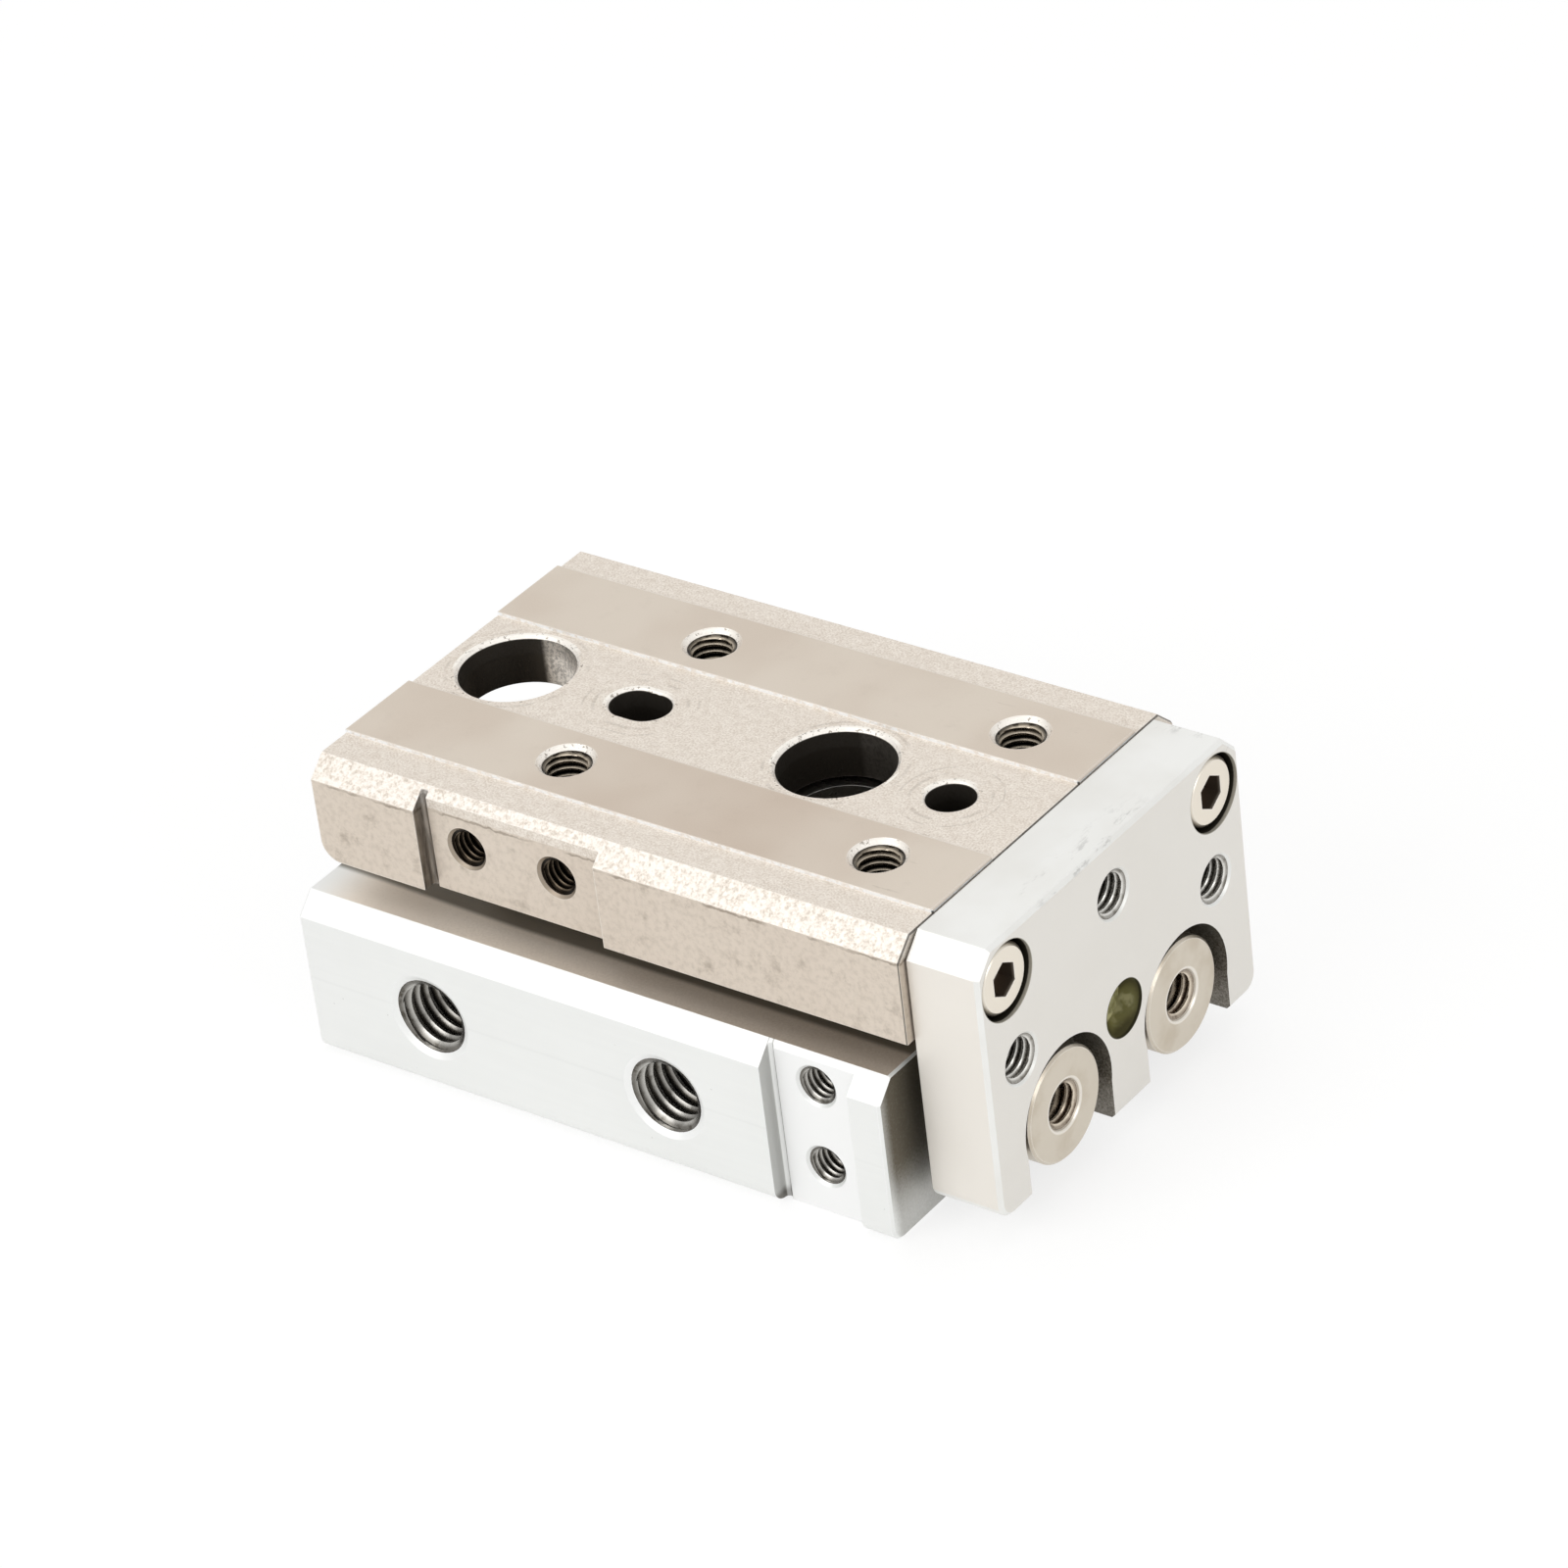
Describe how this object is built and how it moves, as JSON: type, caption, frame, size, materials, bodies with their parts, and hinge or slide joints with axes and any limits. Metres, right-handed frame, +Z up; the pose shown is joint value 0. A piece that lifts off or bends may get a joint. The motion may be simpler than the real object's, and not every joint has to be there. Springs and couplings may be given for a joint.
{
  "type": "pneumatic slide table",
  "caption": "Compact pneumatic slide table: a flat steel table rides on crossed rollers over an aluminium cylinder body, driven through an end plate bolted across its front.",
  "frame": {"origin": "centre of the body's flat underside, on the mounting surface", "axes": "+X the way the table and end plate travel, +Z up out of the table, air ports on the -Y side"},
  "size_m": [0.0484, 0.032, 0.02],
  "materials": {
    "anodised_body": "clear anodised, fine satin",
    "plated_table": "nickel plated, ground lands and blasted bands",
    "plate_aluminium": "clear anodised, satin",
    "screw_steel": "nickel plated",
    "plated_disc": "nickel plated, turned",
    "guide_steel": "hardened and ground",
    "roller_steel": "hardened and polished",
    "cage_steel": "stamped stainless",
    "rod_steel": "stainless, ground",
    "spring_steel": "black phosphated",
    "cap_aluminium": "machined, clear anodised",
    "black_rubber": "nitrile",
    "urethane": "olive polyurethane, matt",
    "magnet": "plastic bonded magnet"
  },
  "bodies": {
    "body": {"body": "anodised_body", "guide_block": "guide_steel", "guide_block_screws": "screw_steel", "cage_stop_rear": "guide_steel", "cage_stop_front": "guide_steel", "cage_stop_pins": "screw_steel", "head_cap_left": "cap_aluminium", "head_cap_right": "cap_aluminium", "head_cap_ring_left": "spring_steel", "head_cap_ring_right": "spring_steel", "rod_cover_left": "cap_aluminium", "rod_cover_right": "cap_aluminium", "rod_cover_oring_left": "black_rubber", "rod_cover_oring_right": "black_rubber", "rod_seal_left": "black_rubber", "rod_seal_right": "black_rubber", "rod_cover_ring_left": "spring_steel", "rod_cover_ring_right": "spring_steel"},
    "table": {"table": "plated_table", "end_plate": "plate_aluminium", "end_plate_screws": "screw_steel", "end_bumper": "urethane", "piston_rod_left": "rod_steel", "piston_rod_right": "rod_steel", "rod_end_disc_left": "plated_disc", "rod_end_disc_right": "plated_disc", "piston_left": "cap_aluminium", "piston_right": "cap_aluminium", "piston_seal_left": "black_rubber", "piston_seal_right": "black_rubber", "piston_magnet_left": "magnet", "piston_magnet_right": "magnet", "rod_bumper_left": "urethane", "rod_bumper_right": "urethane"},
    "cages": {"roller_cage_left": "cage_steel", "roller_cage_right": "cage_steel", "cross_rollers_left": "roller_steel", "cross_rollers_right": "roller_steel"}
  },
  "joints": [
    {"name": "table_slide", "type": "slide", "parent": "body", "child": "table", "axis": [1, 0, 0], "range_m": [0, 0.01]},
    {"name": "cage_slide", "type": "slide", "parent": "body", "child": "cages", "axis": [1, 0, 0], "range_m": [0, 0.005]}
  ],
  "couplings": [
    {"joint": "cage_slide", "follows": "table_slide", "ratio": 0.5}
  ]
}
